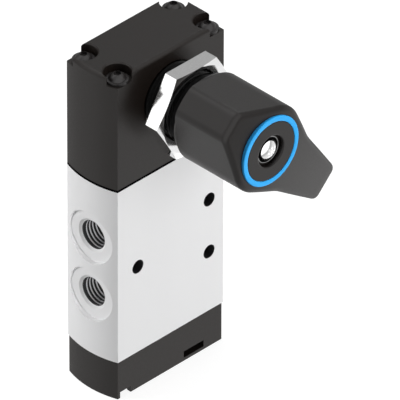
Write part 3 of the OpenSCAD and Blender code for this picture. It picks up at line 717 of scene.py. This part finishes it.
def add_knob_screw():
    rise = HEAD_H - HEAD_RIM
    arc_r = (HEAD_R ** 2 + rise ** 2) / (2 * rise)
    seat = WASHER_FRONT
    apex = seat + HEAD_H
    floor = apex - SOCKET_DEPTH

    def dome(a, r):
        return apex - arc_r + math.sqrt(arc_r ** 2 - r ** 2)

    rings = [(0, HEAD_END), (KNOB_SHANK_R, HEAD_END), (KNOB_SHANK_R, seat), (HEAD_R - HEAD_FOOT, seat),
             (HEAD_R, seat + HEAD_FOOT), (HEAD_R, seat + HEAD_RIM - HEAD_BREAK),
             (HEAD_R - HEAD_SHOULDER, dome)]
    rings += [(HEAD_R * share, dome) for share in DOME_SHARES]
    rings += [(lambda a: lobed(a) + SOCKET_BREAK, dome), (lobed, lambda a, r: dome(a, r) - SOCKET_BREAK),
              (lambda a: lobed(a) * SOCKET_TAPER, floor), (0, floor - SOCKET_CONE)]
    screw = polar_solid("knob_screw_head", rings, on_knob_axis(POINTER_TURN), SCREW_STEPS, SCREW_SHARP)
    dress(screw, "bright_screw", "knob_body")
    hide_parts("knob_screw")


# Washer: a polished rim darkened as painted shade, round a black face of painted shade a little below it
WASHER_SHADE_R = 4.05 * MM
WASHER_BEVEL = 0.12 * MM
WASHER_BORE_R = KNOB_SHANK_R + 0.2 * MM
SHADE_FACE_FIT = 0.02 * MM
SHADE_FACE_DROP = 0.05 * MM
SHADE_FACE_BEVEL = 0.1 * MM


def add_washer():
    place = on_knob_axis()
    rim = [(WASHER_SHADE_R, WASHER_BACK), (WASHER_R, WASHER_BACK), (WASHER_R, WASHER_FRONT),
           (WASHER_SHADE_R, WASHER_FRONT)]
    washer = polar_solid("washer_rim", soften(rim, WASHER_BEVEL), place, steps=128)
    dress(washer, "polished_steel", "knob_body")
    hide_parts("knob_washer")
    # The black face stands for the washer's dark reflection: painted shade
    edge, top = WASHER_SHADE_R - SHADE_FACE_FIT, WASHER_FRONT - SHADE_FACE_DROP
    shade_face = [(WASHER_BORE_R, WASHER_BACK), (edge, WASHER_BACK), (edge, top), (WASHER_BORE_R, top)]
    shade_piece = polar_solid("washer_seal", soften(shade_face, SHADE_FACE_BEVEL), place, steps=96)
    dress(shade_piece, "gasket_black", "knob_body")


# Black lip in the seam between the body and the housing, painted shade for the seam's shadow. It stands
# a little outside the body's outline, spreads a little over the seam's two edges, and reaches inwards
SEAM_H = 0.5 * MM
LIP_OUT = -0.04 * MM
LIP_SPREAD = 0.12 * MM
LIP_IN = 0.75 * MM
# Radius of the body's bulged narrow face
SIDE_R = 30.57 * MM


def body_outline(inset, steps=24):
    """The body's outline from above, drawn in by an inset: an arc on the left and three straight sides. It
    never passes the body's left and back."""
    right, half, back = body_high.x - inset, body_high.y - inset, body_high.y - abs(inset)
    centre = body_low.x + SIDE_R
    reach = SIDE_R - inset
    points = [(right, -half), (right, back)]
    for k in range(steps + 1):
        y = back - (back + half) * k / steps
        points.append((max(body_low.x, centre - math.sqrt(reach ** 2 - y ** 2)), y))
    return points


def add_seam_shade_lip():
    outer, inner = body_outline(LIP_OUT), body_outline(LIP_IN)
    low, high = body_high.z - LIP_SPREAD, body_high.z + SEAM_H + LIP_SPREAD
    n = len(outer)
    # Four loops of points: outer and inner below, then outer and inner above
    verts = [(x, y, z) for z in (low, high) for x, y in outer + inner]
    faces = []
    for k in range(n):
        m = (k + 1) % n
        faces += [(k, m, 2 * n + m, 2 * n + k), (n + m, n + k, 3 * n + k, 3 * n + m),
                  (2 * n + k, 2 * n + m, 3 * n + m, 3 * n + k), (m, k, n + k, n + m)]
    dress(add_mesh("gasket_lip", verts, faces), "gasket_black", "root")


# Floor, world and lamps
def seen_white(tree):
    """1 for camera, glossy and transmission rays."""
    path = tree.nodes.new("ShaderNodeLightPath")
    first = math_node(tree, "MAXIMUM", path.outputs["Is Camera Ray"], path.outputs["Is Glossy Ray"])
    return math_node(tree, "MAXIMUM", first, path.outputs["Is Transmission Ray"])


FLOOR_HALF = 6
FLOOR_BOUNCE = 0.5
FLOOR_SEEN = 0.3
FLOOR_GLOW = 0.86


def add_floor():
    """A pale floor that takes the object's shadow and looks white; gloss sees the studio in its place."""
    verts = [(x * FLOOR_HALF, y * FLOOR_HALF, 0) for x, y in ((-1, -1), (1, -1), (1, 1), (-1, 1))]
    floor = add_mesh("floor", verts, [(0, 1, 2, 3)])
    floor.visible_glossy = False
    material = bpy.data.materials.new("floor")
    material.use_nodes = True
    tree = material.node_tree
    tree.nodes.clear()
    out = tree.nodes.new("ShaderNodeOutputMaterial")
    bounce = tree.nodes.new("ShaderNodeBsdfDiffuse")
    bounce.inputs["Color"].default_value = (FLOOR_BOUNCE, FLOOR_BOUNCE, FLOOR_BOUNCE, 1)
    seen = tree.nodes.new("ShaderNodeBsdfDiffuse")
    seen.inputs["Color"].default_value = (FLOOR_SEEN, FLOOR_SEEN, FLOOR_SEEN, 1)
    glow = tree.nodes.new("ShaderNodeEmission")
    glow.inputs["Strength"].default_value = FLOOR_GLOW
    both = tree.nodes.new("ShaderNodeAddShader")
    mix = tree.nodes.new("ShaderNodeMixShader")
    tree.links.new(seen.outputs[0], both.inputs[0])
    tree.links.new(glow.outputs[0], both.inputs[1])
    tree.links.new(seen_white(tree), mix.inputs["Fac"])
    tree.links.new(bounce.outputs[0], mix.inputs[1])
    tree.links.new(both.outputs[0], mix.inputs[2])
    tree.links.new(mix.outputs[0], out.inputs["Surface"])
    floor.data.materials.append(material)


# The world's level for plain light, and the levels that gloss sees in the studio's parts
WORLD_LEVEL = 0.13
STUDIO_BACK = 0.37
STUDIO_FRONT = 0.44
STUDIO_FRONT_LOW = 0.75
STUDIO_NEAR = 1.2
STUDIO_STRIP = 0.75
STUDIO_LOW = 0.55
STUDIO_RIGHT = 0.12
STUDIO_HIGH = 2.1
STUDIO_HIGH_LEFT = 1.3
# Where the parts start and end, as ramps of a direction's X, Y or Z, or of its X less its Z
BEHIND_Y = (0.15, 0.5)
BEFORE_Y = (-0.3, 0.3)
FRONT_FALL = (0.3, 0.8)
FRONT_LOW_FALL = (1.15, 1.35)
NEAR_FALL = (-0.1, 0.3)
STRIP_X = (-0.75, -0.55)
STRIP_Z = (0.3, 0.5)
LOW_Z = (-0.75, -0.4)
RIGHT_X = (0.62, 0.78)
HIGH_Z = (0.62, 0.85)
HIGH_LEFT_X = (-0.55, -0.35)
HIGH_LEFT_Z = (0.2, 0.45)


def rising(tree, value, ramp, level=1):
    return ranged(tree, value, 0, level, *ramp)


def falling(tree, value, ramp, level=1):
    return ranged(tree, value, level, 0, *ramp)


def product(tree, first, *others):
    for value in others:
        first = math_node(tree, "MULTIPLY", first, value)
    return first


def studio_level(tree):
    """What gloss sees by direction: an even level, with brighter parts before and behind the object."""
    coords = tree.nodes.new("ShaderNodeTexCoord")
    split = tree.nodes.new("ShaderNodeSeparateXYZ")
    tree.links.new(coords.outputs["Generated"], split.inputs[0])
    x, y, z = split.outputs
    behind = rising(tree, y, BEHIND_Y)
    before = falling(tree, y, BEFORE_Y)
    fall = math_node(tree, "SUBTRACT", x, z)
    strip = falling(tree, z, STRIP_Z, STUDIO_STRIP)
    high_left = falling(tree, x, HIGH_LEFT_X, STUDIO_HIGH_LEFT)
    parts = (
        product(tree, rising(tree, fall, FRONT_FALL, STUDIO_FRONT), before),
        product(tree, rising(tree, fall, FRONT_LOW_FALL, STUDIO_FRONT_LOW), before),
        product(tree, falling(tree, fall, NEAR_FALL, STUDIO_NEAR), before),
        product(tree, strip, falling(tree, x, STRIP_X), behind),
        product(tree, falling(tree, z, LOW_Z, STUDIO_LOW), behind),
        product(tree, rising(tree, x, RIGHT_X, STUDIO_RIGHT), behind),
        product(tree, rising(tree, z, HIGH_Z, STUDIO_HIGH), behind),
        product(tree, high_left, rising(tree, z, HIGH_LEFT_Z), behind),
    )
    level = STUDIO_BACK
    for part in parts:
        level = math_node(tree, "ADD", level, part)
    return level


def light_world():
    world = bpy.data.worlds.new("studio")
    bpy.context.scene.world = world
    world.use_nodes = True
    tree = world.node_tree
    background = tree.nodes["Background"]
    background.inputs["Color"].default_value = (1, 1, 1, 1)
    path = tree.nodes.new("ShaderNodeLightPath")
    level = math_node(tree, "MAXIMUM", path.outputs["Is Camera Ray"], WORLD_LEVEL)
    glossy = math_node(tree, "MULTIPLY", path.outputs["Is Glossy Ray"], studio_level(tree))
    level = math_node(tree, "MAXIMUM", level, glossy)
    tree.links.new(level, background.inputs["Strength"])


LAMP_DISTANCE = 0.9
# The fill casts no shadow, because the photograph has no shadow of the knob on the body
LAMPS = (
    dict(name="key", toward=(0.5, -0.85, 0.1), level=0.25, size=0.5, glossy=False),
    dict(name="fill", toward=(0.5, -0.85, 0.1), level=0.78, size=0.5, shadow=False, glossy=False),
    dict(name="side", toward=(-0.7, 0.7, 0.14), level=0.78, size=0.4, glossy=False),
    dict(name="top", toward=(0, 0.1, 1), level=0.47, size=0.6, glossy=False),
    dict(name="glow", toward=(0.7, 0.4, 0.6), level=0.035, size=0.25),
)


def add_lamp(name, toward, level, size, shadow=True, glossy=True):
    """A soft lamp; at level 1 a surface that faces it looks as its colour is written."""
    data = bpy.data.lights.new(name, "AREA")
    data.use_shadow = shadow
    data.shape = "DISK"
    data.size = size
    data.energy = level * math.pi ** 2 * LAMP_DISTANCE ** 2
    light = bpy.data.objects.new(name, data)
    bpy.context.scene.collection.objects.link(light)
    toward = Vector(toward).normalized()
    light.location = CAMERA_TARGET + toward * LAMP_DISTANCE
    light.visible_glossy = glossy
    light.rotation_euler = (-toward).to_track_quat("-Z", "Y").to_euler()


def light_studio():
    light_world()
    for lamp in LAMPS:
        add_lamp(**lamp)


add_camera()
MATERIALS = make_materials()
dress_nodes()
add_port_threads()
add_neck()
add_nut()
add_knob()
add_ring()
add_knob_screw()
add_washer()
add_seam_shade_lip()
add_floor()
light_studio()
bpy.context.scene.view_settings.view_transform = "Standard"
